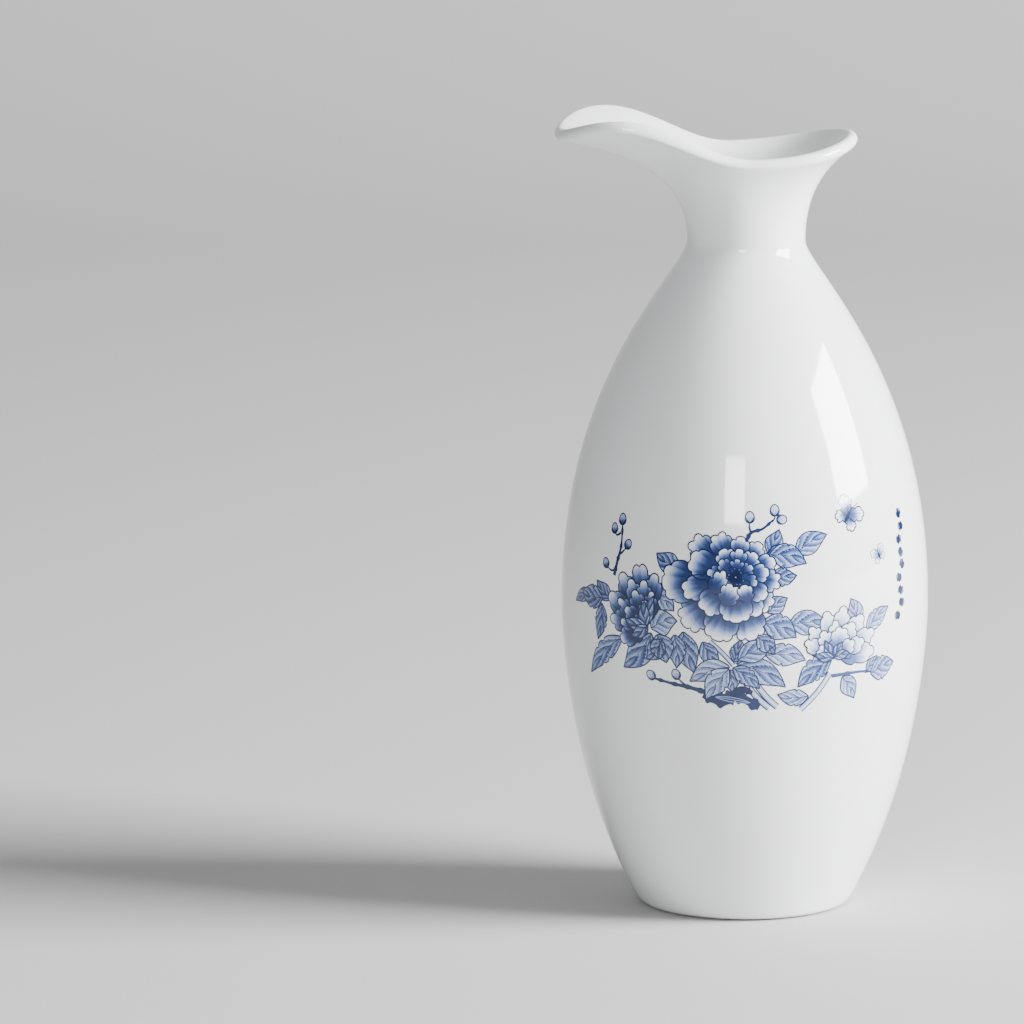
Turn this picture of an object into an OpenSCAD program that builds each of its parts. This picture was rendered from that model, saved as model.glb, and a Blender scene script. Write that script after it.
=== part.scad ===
// Porcelain sake bottle with a flared pouring lip and a transfer-printed peony spray.
// Millimetres. The origin is the centre of the foot on the table, +Z is up,
// and the pouring lip reaches out along -X.

/* [Body] */
// Radius of the belly at its widest
belly_r = 40.5; // [33:0.5:50]
// Height of the widest part of the belly above the table
belly_z = 68; // [56:1:82]
// Outer radius of the foot where it meets the table
foot_r = 23; // [19:0.5:28]
// Outward lean of the wall at the foot, as run over rise
foot_lean = 0.58; // [0.3:0.02:0.9]
// Radius of the neck at its waist
neck_r = 13; // [10.5:0.5:16]
// Height of the waist of the neck above the table
neck_z = 148; // [123:1:178]
// Thickness of the porcelain in the belly and the neck
wall = 2.6; // [2:0.1:3.6]
// Thickness of the porcelain floor
floor_t = 4; // [3:0.5:6]
// Radius of the rounding between the floor and the wall inside
floor_round = 9; // [6:0.5:11]

/* [Foot ring] */
// Width of the bare ring that rests on the table
ring_w = 3.2; // [2.5:0.1:4]
// Depth of the recess inside the ring
recess_d = 2.4; // [1.6:0.1:3.2]
// Height of the rounded outer edge of the foot
edge_h = 1.8; // [1.4:0.1:2.2]
// Height above the table up to which the foot is wiped bare of glaze
bare_h = 0.5; // [0.3:0.1:0.8]

/* [Lip] */
// Distance from the axis to the rim at the tip of the spout
spout_reach = 41; // [33:0.5:50]
// Distance from the axis to the rim at the heel, opposite the spout
heel_reach = 23; // [19:0.5:28]
// Half of the width of the mouth
mouth_half = 16.2; // [14:0.2:19.5]
// Height of the rim above the waist at the heel
heel_h = 22.4; // [18:0.2:27]
// Height of the rim above the waist at its lowest point, on the sides
dip_h = 18.6; // [15:0.2:23]
// Height of the rim above the waist at the shoulders of the spout
crest_h = 27.3; // [22:0.2:33]
// Height of the rim above the waist at the tip of the spout
tip_h = 24.1; // [19:0.2:29]
// Angle round the mouth from the heel to the lowest point
dip_at = 75; // [60:1:90]
// Angle round the mouth from the heel to the shoulders of the spout
crest_at = 137; // [125:1:150]
// Thickness of the porcelain at the rim
rim_wall = 2.2; // [1.6:0.1:3]

/* [Glaze] */
// Thickness of the glaze
glaze_t = 0.3; // [0.2:0.05:0.4]

/* [Printed spray] */
// Direction that the middle of the main peony faces, from +X
spray_az = -108.5; // [-130:0.5:-90]
// Height of the middle of the main peony above the table
spray_z = 77; // [64:1:92]
// Thickness of the printed colour
print_t = 0.1; // [0.08:0.01:0.15]
// Width of the spray round the belly, from its first leaf to its last
spray_w = 82; // [66:1:98]

/* [Hidden] */

porcelain_white = [0.93, 0.93, 0.91];
glaze_white = [0.96, 0.97, 0.98];
cobalt = [0.16, 0.25, 0.52];
pale_cobalt = [0.42, 0.52, 0.76];

// Shares of the height that shape the two curves of the body
lower_foot_pull = 0.37;
lower_belly_pull = 0.17;
upper_belly_pull = 0.64;
upper_neck_pull = 0.075;
// Straight steps along each curve of the body
lower_steps = 18;
upper_steps = 30;
edge_steps = 4;
revolve_fn = 180;
// Shortest step along the wall
least_step = 0.8;

// How high each side of the lip rises before it leans out, as a share of its height
heel_rise = 0.66;
side_rise = 0.65;
spout_rise = 0.79;
// How squarely the sides of the mouth run, from 0 for an ellipse
mouth_square = 0.118;
// How far the widest part of the mouth sits towards the heel
mouth_shift = 1.6;
// How much the mouth narrows towards the tip of the spout
mouth_taper = 3.8;
// Steps round the mouth, up the lip and over its rounded rim
around_steps = 72;
rise_steps = 12;
rim_steps = 4;
// Depth that the lip reaches down into the neck's wall, and its inset there
lip_root = 1.2;
root_inset = 0.04;

// Thickness of the whole wall, from the outer glaze to the inner glaze
full_wall = wall + 2 * glaze_t;
// Radius in the middle of the neck's wall
neck_mid_r = neck_r - full_wall / 2;
floor_z = recess_d + floor_t;
// Radius of the recess at the table, inside the bare ring
recess_r = foot_r - glaze_t - edge_h - ring_w;

// ---- Curves ----

function mix(a, b, t) = a + (b - a) * t;
function ease(a, b, t) = mix(a, b, (1 - cos(180 * t)) / 2);
function unit(v) = v / norm(v);
function bezier2(a, b, c, t) = (1 - t) * (1 - t) * a + 2 * t * (1 - t) * b + t * t * c;
function bezier3(a, b, c, d, t) =
    pow(1 - t, 3) * a + 3 * t * pow(1 - t, 2) * b + 3 * t * t * (1 - t) * c + pow(t, 3) * d;
function reversed(list) = [for (i = [len(list) - 1 : -1 : 0]) list[i]];

// ---- Profile of the body, as [radius, height] ----

foot_point = [foot_r, 0];
foot_handle = foot_point + belly_z * lower_foot_pull * [foot_lean, 1];
belly_point = [belly_r, belly_z];
neck_point = [neck_r, neck_z];
upper_rise = neck_z - belly_z;

function lower_curve(t) =
    bezier3(foot_point, foot_handle, belly_point - [0, belly_z * lower_belly_pull], belly_point, t);
function upper_curve(t) =
    bezier3(belly_point, belly_point + [0, upper_rise * upper_belly_pull],
            neck_point - [0, upper_rise * upper_neck_pull], neck_point, t);

// u runs from 0 at the foot over 1 at the belly to 2 at the neck
function glazed(u) = u < 1 ? lower_curve(u) : upper_curve(u - 1);
function slope(u) = unit(glazed(min(2, u + 0.001)) - glazed(u - 0.001));
// The same curve, moved inwards by d
function skin(u, d) = glazed(u) + d * [-slope(u)[1], slope(u)[0]];

body_u = concat(
    [for (i = [0 : lower_steps - 1]) i / lower_steps],
    [for (i = [0 : upper_steps - 1]) 1 + i / upper_steps]
);
// Where the curve moved inwards by d passes height z, by halving
function u_at(z, d, low = 0, high = 1, halvings = 24) =
    let (u = (low + high) / 2)
    halvings == 0 ? u
    : skin(u, d)[1] > z ? u_at(z, d, low, u, halvings - 1)
    : u_at(z, d, u, high, halvings - 1);
// The curve from height z_low up to the neck, moved inwards by d
function wall_line(d, z_low) = concat(
    [skin(u_at(z_low, d), d)],
    [for (u = body_u) if (skin(u, d)[1] > z_low + least_step) skin(u, d)],
    [[neck_r - d, neck_z]]
);
// The inside of the bottle: a flat floor at height z, a round corner and the wall
function inside_line(d, z) =
    let (side = wall_line(d, z + floor_round))
    let (foot = side[0])
    let (lean = unit(side[1] - foot))
    let (corner = foot - lean * ((foot[1] - z) / lean[1]))
    concat(
        [[0, z]],
        [for (i = [0 : 7]) bezier2([corner[0] - floor_round, z], corner, foot, i / 8)],
        side
    );
// The rounded outer edge of the foot, at share t of the way up to where the wall starts
function edge(d, t) =
    bezier2([foot_r - d - edge_h, 0], [foot_r - d, 0], skin(u_at(edge_h, d), d), t);
// The glazed stretch of that edge
bare_share = sqrt(bare_h / edge_h);
function edge_line(d) =
    [for (i = [0 : edge_steps - 1]) edge(d, mix(bare_share, 1, i / edge_steps))];
// The outside from the bare line up to the neck
function outside_line(d) = concat(edge_line(d), wall_line(d, edge_h));

// ---- Surface of the lip ----

// Height of the rim above the waist, at angle a from the heel
function rim_h(a) =
    let (b = a > 180 ? 360 - a : a)
    b < dip_at ? ease(heel_h, dip_h, b / dip_at)
    : b < crest_at ? ease(dip_h, crest_h, (b - dip_at) / (crest_at - dip_at))
    : ease(crest_h, tip_h, (b - crest_at) / (180 - crest_at));
function rim(a) = [
    (heel_reach - spout_reach) / 2 + (heel_reach + spout_reach) / 2 * cos(a)
        + pow(sin(a), 2) * (mouth_shift - mouth_taper * cos(a)),
    mouth_half / (1 - mouth_square) * (sin(a) + mouth_square * sin(3 * a)),
    neck_z + rim_h(a)
];
function rise(a) = mix(side_rise, cos(a) > 0 ? heel_rise : spout_rise, pow(cos(a), 2));
// The middle of the lip's wall: s runs from 0 at the waist to 1 at the rim
function middle(a, s) =
    let (low = [neck_mid_r * cos(a), neck_mid_r * sin(a), neck_z])
    bezier2(low, low + [0, 0, rise(a) * rim_h(a)], rim(a), s);
function up_lip(a, s) = unit(middle(a, s + 0.002) - middle(a, s - 0.002));
function out_of_lip(a, s) = unit(cross(middle(a + 0.2, s) - middle(a - 0.2, s), up_lip(a, s)));
function half_wall(s) = mix(wall, rim_wall, s) / 2;

// One section of a skin of the lip at angle a, e outside the porcelain.
// It runs up the outside, over the rounded rim and down the inside.
function lip_section(a, e) = concat(
    [for (i = [0 : rise_steps])
        let (s = i / rise_steps)
        middle(a, s) + (half_wall(s) + e) * out_of_lip(a, s)],
    [for (i = [1 : rim_steps - 1])
        let (b = 180 * i / rim_steps)
        middle(a, 1) + (half_wall(1) + e) * (cos(b) * out_of_lip(a, 1) + sin(b) * up_lip(a, 1))],
    [for (i = [rise_steps : -1 : 0])
        let (s = i / rise_steps)
        middle(a, s) - (half_wall(s) + e) * out_of_lip(a, s)]
);
// The section without its two points at the waist
function section_above_root(a, e) =
    let (s = lip_section(a, e))
    [for (i = [1 : len(s) - 2]) s[i]];
// Points in the neck's wall at radius r, at the waist and below it
function root_top(a, r) = [r * cos(a), r * sin(a), neck_z];
function root(a, r) = [r * cos(a), r * sin(a), neck_z - lip_root];
// The two of them in that order, for a wall that goes up, and the other way for one that goes down
function root_up(a, r) = [root(a, r), root_top(a, r)];
function root_down(a, r) = [root_top(a, r), root(a, r)];

// A ring-shaped solid from one closed section at each step round the mouth
module lip_solid(sections) {
    n = len(sections);
    m = len(sections[0]);
    points = [for (s = sections) for (p = s) p];
    faces = [
        for (i = [0 : n - 1])
            for (j = [0 : m - 1])
                let (k = (i + 1) % n)
                let (l = (j + 1) % m)
                for (f = [[i * m + j, k * m + l, k * m + j], [i * m + j, i * m + l, k * m + l]]) f
    ];
    polyhedron(points = points, faces = faces, convexity = 6);
}

around = [for (i = [0 : around_steps - 1]) 360 * i / around_steps];

module revolved(outline) {
    rotate_extrude($fn = revolve_fn) polygon(outline);
}

// ---- The bottle ----

// The fired porcelain: foot ring, belly, neck and lip in one casting
module porcelain_body() {
    bare_edge = [edge(glaze_t, 0), edge(glaze_t, bare_share / 2)];
    pinch = wall / 2 - root_inset;
    color(porcelain_white) union() {
        revolved(concat(
            [[0, recess_d], [recess_r - recess_d, recess_d], [recess_r, 0]],
            bare_edge,
            outside_line(glaze_t),
            reversed(inside_line(glaze_t + wall, floor_z))
        ));
        lip_solid([for (a = around) concat(
            root_up(a, neck_mid_r + pinch),
            section_above_root(a, 0),
            root_down(a, neck_mid_r - pinch)
        )]);
    }
}

// The clear glaze: over the outside, round the rim and all over the inside
module glaze_coat() {
    outer_r = neck_r - glaze_t / 2;
    inner_r = outer_r - glaze_t - wall;
    pinch = glaze_t / 2 - root_inset;
    color(glaze_white) union() {
        revolved(concat(outside_line(0), reversed(outside_line(glaze_t))));
        revolved(concat(
            inside_line(full_wall, floor_z + glaze_t),
            reversed(inside_line(full_wall - glaze_t, floor_z))
        ));
        lip_solid([for (a = around) concat(
            root_up(a, outer_r + pinch),
            section_above_root(a, glaze_t),
            root_down(a, inner_r - pinch),
            root_up(a, inner_r + pinch),
            reversed(section_above_root(a, 0)),
            root_down(a, outer_r - pinch)
        )]);
    }
}

// The patch of glaze in the recess of the foot
module base_glaze() {
    color(glaze_white) translate([0, 0, recess_d - glaze_t])
        cylinder(r = recess_r - recess_d, h = glaze_t, $fn = revolve_fn);
}

// ---- The printed spray ----

// A ring of colour on the glaze between two heights
module colour_ring(z_low, z_high) {
    us = [for (u = body_u) if (glazed(u)[1] > z_low - 4 && glazed(u)[1] < z_high + 4) u];
    revolved(concat([for (u = us) skin(u, -print_t)], reversed([for (u = us) skin(u, 0)])));
}

// The spray below is drawn this wide, and is printed at spray_w
drawn_w = 82;
spray_scale = spray_w / drawn_w;

// Prints a flat shape on the belly. Its origin is u mm round the belly to the right of the middle of
// the main peony and v mm above it, and reach is how far it goes up or down, all as drawn.
module printed(u, v, reach) {
    intersection() {
        colour_ring(spray_z + spray_scale * (v - reach), spray_z + spray_scale * (v + reach));
        rotate([0, 0, spray_az + spray_scale * u / belly_r * 180 / PI])
            translate([belly_r / 2, 0, spray_z + spray_scale * v])
                rotate([90, 0, 90])
                    linear_extrude(belly_r) scale(spray_scale) children();
    }
}

// The outline of a flower with round petals
function petals(w, h, count, notch, turn) = [
    for (i = [0 : count * 8 - 1])
        let (a = 360 * i / (count * 8))
        let (r = 1 - notch + notch * abs(sin(count * a / 2)))
        [w / 2 * r * cos(a + turn), h / 2 * r * sin(a + turn)]
];

// A peony: bands of petals round a heart, parted by thin gaps
module peony(w, h, count) {
    bands = [1, 0.7, 0.42];
    gap = 0.06;
    for (i = [0 : len(bands) - 1]) {
        difference() {
            polygon(petals(w * bands[i], h * bands[i], count - 2 * i, 0.16, 20 * i));
            if (i < len(bands) - 1) {
                inner = bands[i + 1] + gap;
                polygon(petals(w * inner, h * inner, count - 2 * (i + 1), 0.16, 20 * (i + 1)));
            }
        }
    }
}

// A pointed leaf from the origin to its tip
module leaf(tip, width) {
    length = norm(tip);
    side = [for (i = [0 : 8]) [length * i / 8, width / 2 * sin(180 * pow(i / 8, 0.8))]];
    back = [for (i = [7 : -1 : 1]) [side[i][0], -side[i][1]]];
    rotate(atan2(tip[1], tip[0])) polygon(concat(side, back));
}

// A tapering stem from the origin to an end, bowed sideways
module stem(end, bow, width) {
    side = unit([-end[1], end[0]]);
    line = [for (i = [0 : 8]) bezier2([0, 0], end / 2 + bow * side, end, i / 8)];
    left = [for (i = [0 : 8]) line[i] + width / 2 * (1 - 0.5 * i / 8) * side];
    right = [for (i = [8 : -1 : 0]) line[i] - width / 2 * (1 - 0.5 * i / 8) * side];
    polygon(concat(left, right));
}

// Round buds, as [x, y, radius], along a stem
module bud_sprig(end, bow, buds) {
    stem(end, bow, 0.8);
    for (b = buds) {
        translate([b[0], b[1]]) circle(r = b[2], $fn = 24);
    }
}

// A butterfly with two pairs of wings round a slim body
module butterfly(span) {
    for (a = [-35, 25, 145, 215]) {
        leaf(span / 2 * [cos(a), sin(a)], span * 0.26);
    }
    translate([-span * 0.04, -span * 0.22]) leaf([span * 0.08, span * 0.44], span * 0.09);
}

module main_peony_print() {
    color(cobalt) printed(0, 0, 11.5) peony(28, 23, 11);
}

module left_peony_print() {
    color(cobalt) printed(-22.7, -4, 9) peony(14, 17, 9);
}

module right_peony_print() {
    color(pale_cobalt) printed(28.5, -10.5, 7) peony(18, 12.5, 9);
}

// Leaves of the spray: where each starts and ends, and its width
leaf_places = [
    [[12, 8.6], [14.2, 12.6], 3.4], [[12.8, 7.2], [20, 5.8], 4.4], [[19.8, 8.6], [25.6, 11.4], 3.8],
    [[14.8, 2.6], [18.8, 1.6], 2.8], [[14.8, -4], [17.6, -1.4], 2.8], [[13.2, -7.6], [19, -10], 4.2],
    [[17.4, -5.8], [22, -5.4], 3], [[4.6, -15.6], [12.6, -13], 3.8], [[12.2, -15.4], [18.6, -16], 3.6],
    [[5, -17.2], [14.2, -21.4], 4.2], [[2.2, -17.2], [-5.8, -20.2], 3.4], [[2.8, -18.8], [1.4, -23.6], 2.6],
    [[-7.4, -12.6], [-5.2, -18], 4], [[-12.6, -10.2], [-11.2, -15.8], 4.2], [[-15.6, -10.6], [-22, -17.6], 4],
    [[-25.4, -13.6], [-33.2, -20.4], 3.8], [[-31, -5], [-37.4, -3.8], 4.2], [[-31.2, -8.6], [-32.6, -14], 2.8],
    [[-11.4, 8.2], [-15.2, 7.6], 2.8], [[32.8, -4.2], [31, -0.2], 2.8], [[36.4, -6.2], [41.4, -3.4], 3.4],
    [[24, -17.2], [18.6, -20.6], 3.8], [[29.2, -20.8], [32.2, -24.6], 3], [[38, -20], [44, -18.6], 4],
    [[19, -24], [14.2, -23], 2.8]
];

module leaf_print() {
    color(cobalt) for (p = leaf_places) {
        printed(p[0][0], p[0][1], norm(p[1] - p[0])) leaf(p[1] - p[0], p[2]);
    }
}

module stem_print() {
    color(cobalt) {
        printed(7.2, -21.2, 6) stem([3.6, -4.6], -0.4, 1);
        printed(10.6, -22.8, 4) stem([2.8, -2.8], -0.3, 1);
        printed(24.6, -19.4, 8) stem([-5.7, -6.7], 0.5, 1.1);
        printed(26.4, -19.6, 2) stem([10.8, -0.2], 0.3, 0.8);
        printed(-1, -24.6, 4) stem([8.4, -1.8], 0.2, 1.8);
    }
}

module left_bud_print() {
    color(cobalt) printed(-25.9, 4.4, 11)
        bud_sprig([1.4, 7.4], 0.4, [[1, 9, 1.1], [-1.2, 6.4, 1], [3.7, 3.9, 1], [-3.3, -1, 1]]);
}

module top_bud_print() {
    color(cobalt) printed(6.8, 11.2, 8)
        bud_sprig([5.4, 4], 0.4, [[0.4, 4.6, 1.1], [6.1, 5.9, 1.1], [7.8, 3.7, 1]]);
}

module low_bud_print() {
    color(cobalt) printed(-2.8, -22.8, 6)
        bud_sprig([-11.6, 2], 0.5, [[-13, 3, 1.1], [-6.6, 3.8, 1]]);
}

module large_butterfly_print() {
    color(cobalt) printed(31.3, 15.4, 4) rotate(-30) butterfly(7);
}

module small_butterfly_print() {
    color(pale_cobalt) printed(39.4, 5.7, 3) rotate(25) butterfly(4.4);
}

// Loose petals that drift down in a column beside the butterflies
drift_count = 9;
drift_start = [48.4, 13.6];
drift_step = [-0.3, -2.75];
petal_length = 2;

module petal_drift_print() {
    color(cobalt) for (i = [0 : drift_count - 1]) {
        at = drift_start + i * drift_step;
        a = 60 + 130 * sin(97 * i);
        printed(at[0], at[1], petal_length + 1) leaf(petal_length * [cos(a), sin(a)], 1.2);
    }
}

porcelain_body();
glaze_coat();
base_glaze();
main_peony_print();
left_peony_print();
right_peony_print();
leaf_print();
stem_print();
left_bud_print();
top_bud_print();
low_bud_print();
large_butterfly_print();
small_butterfly_print();
petal_drift_print();
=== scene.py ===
"""Looks of the porcelain sake bottle: smooth glaze, bare foot, and the printed peony spray.

Lengths are in millimetres and become metres where a mesh is made. The printed spray is laid out
flat, in (u, v) millimetres to the right of and above the middle of the main peony, and then
wrapped round the belly.
"""

import math

import bpy
import numpy as np
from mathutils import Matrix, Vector


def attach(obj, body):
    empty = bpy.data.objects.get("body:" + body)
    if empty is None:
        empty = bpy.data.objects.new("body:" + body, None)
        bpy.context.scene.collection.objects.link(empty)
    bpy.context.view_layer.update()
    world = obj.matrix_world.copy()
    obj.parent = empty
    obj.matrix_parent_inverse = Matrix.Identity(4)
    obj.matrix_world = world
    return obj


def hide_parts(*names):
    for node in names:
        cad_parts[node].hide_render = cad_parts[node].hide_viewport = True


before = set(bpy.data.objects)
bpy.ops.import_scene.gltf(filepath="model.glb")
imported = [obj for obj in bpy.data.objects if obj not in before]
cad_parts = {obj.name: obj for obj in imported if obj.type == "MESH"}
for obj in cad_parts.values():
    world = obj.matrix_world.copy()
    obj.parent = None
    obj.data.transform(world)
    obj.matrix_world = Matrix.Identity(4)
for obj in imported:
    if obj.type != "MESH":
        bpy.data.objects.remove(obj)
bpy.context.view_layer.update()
MM = 0.001
rng = np.random.default_rng(7)

# ---- Sizes of the bottle, as the CAD has them ----

BELLY_R, BELLY_Z = 40.5, 68.0
FOOT_R, FOOT_LEAN = 23.0, 0.58
NECK_R, NECK_Z = 13.0, 148.0
WALL, FLOOR_T, FLOOR_ROUND = 2.6, 4.0, 9.0
EDGE_H, BARE_H, RECESS_D = 1.8, 0.5, 2.4
SPOUT_REACH, HEEL_REACH, MOUTH_HALF = 41.0, 23.0, 16.2
HEEL_H, DIP_H, CREST_H, TIP_H = 22.4, 18.6, 27.3, 24.1
DIP_AT, CREST_AT = 75.0, 137.0
RIM_WALL, GLAZE_T = 2.2, 0.3
LOWER_FOOT_PULL, LOWER_BELLY_PULL = 0.37, 0.17
UPPER_BELLY_PULL, UPPER_NECK_PULL = 0.64, 0.075
HEEL_RISE, SIDE_RISE, SPOUT_RISE = 0.66, 0.65, 0.79
MOUTH_SQUARE, MOUTH_SHIFT, MOUTH_TAPER = 0.118, 1.6, 3.8
FULL_WALL = WALL + 2 * GLAZE_T
FLOOR_Z = RECESS_D + FLOOR_T

# Middle of the main peony
SPRAY_AZ = math.radians(-108.5)
SPRAY_Z = 78.0

# ---- How finely curves are measured and surfaces are cut up ----

CURVE_SAMPLES = 4000                  # along a profile, to find a height on it
CURVE_NUDGE = 0.001                   # along a profile, to measure its slope
RISE_NUDGE, TURN_NUDGE = 0.002, 0.2   # up the lip, and round it in degrees, for the same
NECK_CROWDING = 1.5                   # above 1, so rows lie closer where the neck bends most

AROUND = 176
# Rows for the foot's edge, below the belly, above it, up the lip, over its rim, the floor, its rounding
BRIGHT_ROWS = (7, 46, 80, 36, 14, 5, 10)
HIDDEN_ROWS = (4, 24, 42, 18, 6, 3, 6)
# The inside is shorter, so it takes fewer rows below and above the belly
FEWER_BELOW, FEWER_ABOVE = 4, 6


def mix(a, b, t):
    return a + (b - a) * t


def smooth(t):
    t = np.clip(t, 0, 1)
    return t * t * (3 - 2 * t)


def bezier2(a, b, c, t):
    t = np.asarray(t, float)[..., None]
    return (1 - t) ** 2 * a + 2 * t * (1 - t) * b + t * t * c


def bezier3(a, b, c, d, t):
    t = np.asarray(t, float)[..., None]
    return (1 - t) ** 3 * a + 3 * t * (1 - t) ** 2 * b + 3 * t * t * (1 - t) * c + t ** 3 * d


# ---- Profile of the body, as rows of (radius, height) ----

def glazed(u):
    """The outside of the glaze: u is 0 at the foot, 1 at the belly and 2 at the waist of the neck."""
    foot = np.array([FOOT_R, 0.0])
    foot_handle = foot + BELLY_Z * LOWER_FOOT_PULL * np.array([FOOT_LEAN, 1])
    belly = np.array([BELLY_R, BELLY_Z])
    neck = np.array([NECK_R, NECK_Z])
    rise = NECK_Z - BELLY_Z
    low = bezier3(foot, foot_handle, belly - [0, BELLY_Z * LOWER_BELLY_PULL], belly, u)
    high = bezier3(belly, belly + [0, rise * UPPER_BELLY_PULL],
                   neck - [0, rise * UPPER_NECK_PULL], neck, u - 1)
    return np.where((u < 1)[:, None], low, high)


def skin(u, d):
    """The same curve, moved inwards by d."""
    u = np.atleast_1d(np.asarray(u, float))
    step = glazed(np.minimum(2, u + CURVE_NUDGE)) - glazed(u - CURVE_NUDGE)
    step /= np.linalg.norm(step, axis=1)[:, None]
    return glazed(u) + d * np.stack([-step[:, 1], step[:, 0]], 1)


def wall_line(d, z_low, lower_steps, upper_steps):
    """The curve from height z_low up to just below the waist, moved inwards by d."""
    fine = np.linspace(0, 1, CURVE_SAMPLES)
    start = np.interp(z_low, skin(fine, d)[:, 1], fine)
    low = np.linspace(start, 1, lower_steps, endpoint=False)
    t = np.linspace(0, 1, upper_steps, endpoint=False)
    high = 1 + (1 - (1 - t) ** NECK_CROWDING)
    return skin(np.concatenate([low, high]), d)


def edge_line(d, steps):
    """The rounded edge of the foot, from where the glaze ends up to the wall, moved inwards by d."""
    top = wall_line(d, EDGE_H, 2, 2)[0]
    t = np.linspace(math.sqrt(BARE_H / EDGE_H), 1, steps, endpoint=False)
    return bezier2(np.array([FOOT_R - d - EDGE_H, 0]), np.array([FOOT_R - d, 0]), top, t)


def inside_line(d, z, floor_steps, round_steps, lower_steps, upper_steps):
    """The inside of the bottle from the axis out along the floor and up the wall."""
    side = wall_line(d, z + FLOOR_ROUND, lower_steps, upper_steps)
    lean = side[1] - side[0]
    corner = side[0] - lean * (FLOOR_ROUND / lean[1])
    flat = np.array([corner[0] - FLOOR_ROUND, z])
    floor = [[flat[0] * (i + 0.5) / floor_steps, z] for i in range(floor_steps)]
    return np.concatenate([floor, bezier2(flat, corner, side[0],
                                          np.linspace(0, 1, round_steps, endpoint=False)), side])


# ---- Surface of the lip ----

def rim_height(a):
    """How far the rim is above the waist, at an angle of a degrees from the heel."""
    b = np.where(a > 180, 360 - a, a)

    def ease(low, high, t):
        return mix(low, high, (1 - np.cos(np.pi * np.clip(t, 0, 1))) / 2)

    return np.where(b < DIP_AT, ease(HEEL_H, DIP_H, b / DIP_AT),
                    np.where(b < CREST_AT, ease(DIP_H, CREST_H, (b - DIP_AT) / (CREST_AT - DIP_AT)),
                             ease(CREST_H, TIP_H, (b - CREST_AT) / (180 - CREST_AT))))


def lip_middle(a, s):
    """The middle of the lip's wall: a is the angle from the heel, s is 0 at the waist and 1 at the rim."""
    c, n = np.cos(np.radians(a)), np.sin(np.radians(a))
    height = rim_height(a % 360)
    mid_r = NECK_R - FULL_WALL / 2
    low = np.stack([mid_r * c, mid_r * n, 0 * a + NECK_Z], -1)
    x = (HEEL_REACH - SPOUT_REACH) / 2 + (HEEL_REACH + SPOUT_REACH) / 2 * c
    x = x + n ** 2 * (MOUTH_SHIFT - MOUTH_TAPER * c)
    y = MOUTH_HALF / (1 - MOUTH_SQUARE) * (n + MOUTH_SQUARE * np.sin(3 * np.radians(a)))
    rim = np.stack([x, y, NECK_Z + height], -1)
    lean = mix(SIDE_RISE, np.where(c > 0, HEEL_RISE, SPOUT_RISE), c ** 2)
    up = np.stack([0 * a, 0 * a, lean * height], -1)
    s = s[..., None]
    return (1 - s) ** 2 * low + 2 * (1 - s) * s * (low + up) + s ** 2 * rim


def lip_frame(a, s):
    """Unit vectors up the lip and out of it."""
    up = lip_middle(a, s + RISE_NUDGE) - lip_middle(a, s - RISE_NUDGE)
    up /= np.linalg.norm(up, axis=-1)[..., None]
    out = np.cross(lip_middle(a + TURN_NUDGE, s) - lip_middle(a - TURN_NUDGE, s), up)
    return up, out / np.linalg.norm(out, axis=-1)[..., None]


def lip_rows(a, e, rise_steps, rim_steps):
    """Rows round the lip, e outside the porcelain: up the outside, over the rim and down the inside."""
    rows = []
    climb = np.linspace(0, 1, rise_steps + 1)
    for side, steps in ((1, climb), (-1, climb[::-1])):
        for s in steps:
            s_row = np.full_like(a, s)
            _, out = lip_frame(a, s_row)
            half = mix(WALL, RIM_WALL, s) / 2 + e
            rows.append(lip_middle(a, s_row) + side * half * out)
        if side == 1:
            top = np.ones_like(a)
            up, out = lip_frame(a, top)
            for b in np.linspace(0, np.pi, rim_steps + 1)[1:-1]:
                rows.append(lip_middle(a, top) + (RIM_WALL / 2 + e) * (np.cos(b) * out + np.sin(b) * up))
    return rows


# ---- Meshes ----

def new_object(name, points, faces, material, smooth_angle=40):
    """A mesh object from points in millimetres. Edges sharper than smooth_angle stay sharp."""
    mesh = bpy.data.meshes.new(name)
    mesh.from_pydata((np.asarray(points) * MM).tolist(), [], faces)
    mesh.validate()
    mesh.polygons.foreach_set("use_smooth", np.ones(len(mesh.polygons), bool))
    mesh.set_sharp_from_angle(angle=math.radians(smooth_angle))
    mesh.materials.append(material)
    piece = bpy.data.objects.new(name, mesh)
    bpy.context.scene.collection.objects.link(piece)
    return piece


def ring_faces(n_rows, n, first, flip):
    """Quads between rows of n points each."""
    i = np.arange(n_rows - 1)[:, None] * n + first
    j = np.arange(n)[None, :]
    k = (j + 1) % n
    quads = np.stack([i + j, i + k, i + n + k, i + n + j], -1).reshape(-1, 4)
    return (quads[:, ::-1] if flip else quads).tolist()


def turned(profile, a):
    """Rows of points from a profile turned about the axis."""
    c, n = np.cos(np.radians(a)), np.sin(np.radians(a))
    return [np.stack([r * c, r * n, np.full_like(a, z)], 1) for r, z in profile]


def bottle_rows(a, d_out, d_in, floor_z, e, counts):
    """Rows from the foot up the outside, over the rim, down the inside and in to the floor's middle."""
    edge, lower, upper, rise, rim, floor, rounding = counts
    outside = np.concatenate([edge_line(d_out, edge), wall_line(d_out, EDGE_H, lower, upper)])
    inside = inside_line(d_in, floor_z, floor, rounding, lower - FEWER_BELOW, upper - FEWER_ABOVE)
    return turned(outside, a) + lip_rows(a, e, rise, rim) + turned(inside[::-1], a)


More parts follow.
